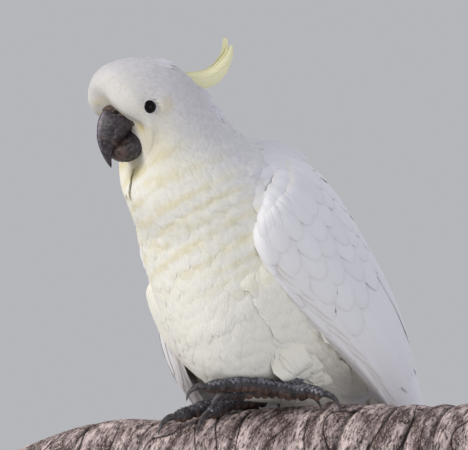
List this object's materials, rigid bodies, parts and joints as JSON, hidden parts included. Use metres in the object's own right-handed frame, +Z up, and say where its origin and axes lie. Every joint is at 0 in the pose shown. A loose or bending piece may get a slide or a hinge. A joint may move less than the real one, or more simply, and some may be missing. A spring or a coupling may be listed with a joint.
{
  "type": "sulphur-crested cockatoo on a perch with a display stand",
  "caption": "Life-size still model of a white cockatoo with a swept yellow crest, one foot raised, on a cut length of branch held by a plain display stand.",
  "frame": {"origin": "middle of the underside of the whole, under the display base", "axes": "+Z up; +X runs along the branch; the bird faces -X turned towards -Y"},
  "size_m": [0.3626, 0.2998, 0.4721],
  "materials": {
    "plumage": "soft white feathers with a faint yellow bloom",
    "crest": "pale sulphur-yellow feathers",
    "cere": "bare grey skin with a dry grain",
    "bill": "grey-black horn with worn brown edges",
    "eye": "near-black, wet gloss",
    "foot": "dark grey scales with brown pads",
    "claw": "dark horn, slight gloss",
    "bark": "grey-brown fissured bark",
    "stand_base": "dark stained wood, satin",
    "stand_rod": "brushed"
  },
  "bodies": {
    "root": {"head": "plumage", "neck": "plumage", "trunk": "plumage", "wing_left": "plumage", "wing_right": "plumage", "tail": "plumage", "thigh_left": "plumage", "thigh_right": "plumage", "crest": "crest", "cere": "cere", "bill_upper": "bill", "bill_lower": "bill", "eye_left": "eye", "eye_right": "eye", "foot_left": "foot", "foot_right": "foot", "claw_left_inner": "claw", "claw_left_outer": "claw", "claw_left_hind_outer": "claw", "claw_left_hind_inner": "claw", "claw_right_inner": "claw", "claw_right_outer": "claw", "claw_right_hind_outer": "claw", "claw_right_hind_inner": "claw", "perch_branch": "bark", "stand_base": "stand_base", "stand_rod_left": "stand_rod", "stand_rod_right": "stand_rod"}
  },
  "joints": []
}
